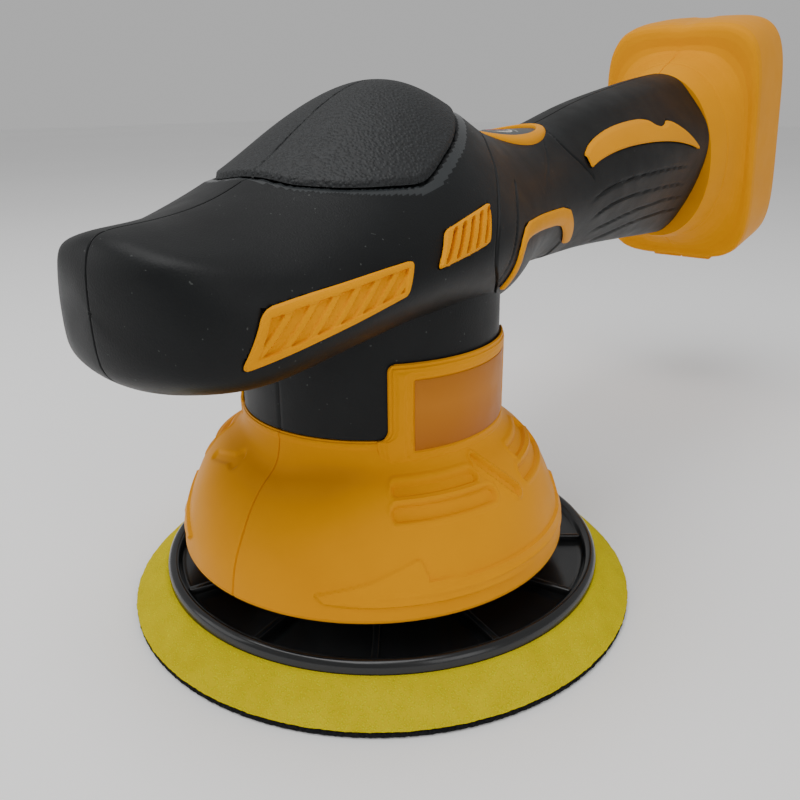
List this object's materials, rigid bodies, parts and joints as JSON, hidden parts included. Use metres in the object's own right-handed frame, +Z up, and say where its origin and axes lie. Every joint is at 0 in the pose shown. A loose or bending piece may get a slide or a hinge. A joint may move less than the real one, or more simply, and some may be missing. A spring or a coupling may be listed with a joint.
{
  "type": "rotary polisher",
  "caption": "Cordless palm-grip polisher: cobra-shaped head over a vertical motor, bell skirt, foam backing pad on an eccentric spindle, straight rear grip and slide-on battery foot.",
  "frame": {"origin": "motor axis in the plane of the pad's hook-faced working side", "axes": "+Z up along the motor axis, -Y towards the nose, +Y along the grip towards the battery foot, +X to the right of a user behind the grip facing the nose turned round (the side with no screw heads)"},
  "size_m": [0.1504, 0.3386, 0.1742],
  "materials": {
    "black_housing": "fine satin moulded nylon",
    "soft_grip": "matt grained overmould",
    "yellow_housing": "satin moulded",
    "label_foil": "smooth blank film",
    "panel_film": "satin film",
    "red_button": "glossy",
    "circuit_board": "solder resist",
    "electrical_steel": "laminated",
    "copper": "enamelled wire and plated blades",
    "cast_alloy": "as cast",
    "bearing_steel": "ground",
    "machined_steel": "turned",
    "magnet": "plated",
    "fan_plastic": "moulded",
    "lead_sleeve": "silicone sleeve",
    "black_insert": "glass-filled moulded",
    "sink_alloy": "extruded",
    "screw_steel": "black zinc",
    "brass_insert": "turned",
    "gloss_black_plate": "polished moulded",
    "lime_foam": "closed-cell polyurethane foam",
    "hook_fabric": "woven hook tape"
  },
  "bodies": {
    "housing": {"head_left": "black_housing", "head_right": "black_housing", "handle_left": "black_housing", "handle_right": "black_housing", "grip_left": "soft_grip", "grip_right": "soft_grip", "foot_left": "yellow_housing", "foot_right": "yellow_housing", "palm_pad_left": "soft_grip", "palm_pad_right": "soft_grip", "side_grille_left": "yellow_housing", "side_grille_right": "yellow_housing", "side_vent_left": "yellow_housing", "side_vent_right": "yellow_housing", "hook_trim_left": "yellow_housing", "hook_trim_right": "yellow_housing", "crescent_trim_left": "yellow_housing", "crescent_trim_right": "yellow_housing", "neck_left": "black_housing", "neck_right": "black_housing", "skirt_left": "yellow_housing", "skirt_right": "yellow_housing", "label_plate_left": "label_foil", "label_plate_right": "label_foil", "button_bezel": "yellow_housing", "button_membrane": "panel_film", "switch_board": "circuit_board", "motor_stator": "electrical_steel", "motor_windings": "copper", "upper_bearing_cap": "cast_alloy", "upper_bearing": "bearing_steel", "bearing_plate": "cast_alloy", "lower_bearing": "bearing_steel", "controller_board": "circuit_board", "heat_sink": "sink_alloy", "battery_leads": "lead_sleeve", "motor_leads": "lead_sleeve", "battery_plate": "black_insert", "terminal_block": "black_insert", "terminal_blades": "copper", "housing_screws": "screw_steel", "skirt_screws": "screw_steel", "bearing_plate_screws": "screw_steel"},
    "power_button": {"power_button": "red_button"},
    "spindle": {"motor_shaft": "machined_steel", "rotor_core": "electrical_steel", "rotor_magnets": "magnet", "cooling_fan": "fan_plastic", "eccentric_hub": "machined_steel", "counterweight": "machined_steel", "pad_bearings": "bearing_steel"},
    "pad": {"pad_spindle": "machined_steel", "spindle_circlip": "screw_steel", "thread_insert": "brass_insert", "backing_plate": "gloss_black_plate", "foam_pad": "lime_foam", "hook_disc": "hook_fabric"}
  },
  "joints": [
    {"name": "spindle_spin", "type": "hinge", "parent": "housing", "child": "spindle", "pos_m": [0, 0, 0.05], "axis": [0, 0, 1], "continuous": true},
    {"name": "pad_spin", "type": "hinge", "parent": "spindle", "child": "pad", "pos_m": [0, 0.004, 0.03], "axis": [0, 0, 1], "continuous": true},
    {"name": "power_button_press", "type": "slide", "parent": "housing", "child": "power_button", "axis": [0, 0, -1], "range_m": [0, 0.0008], "stiffness_N_per_m": 1200, "springref_m": -0.0004}
  ]
}
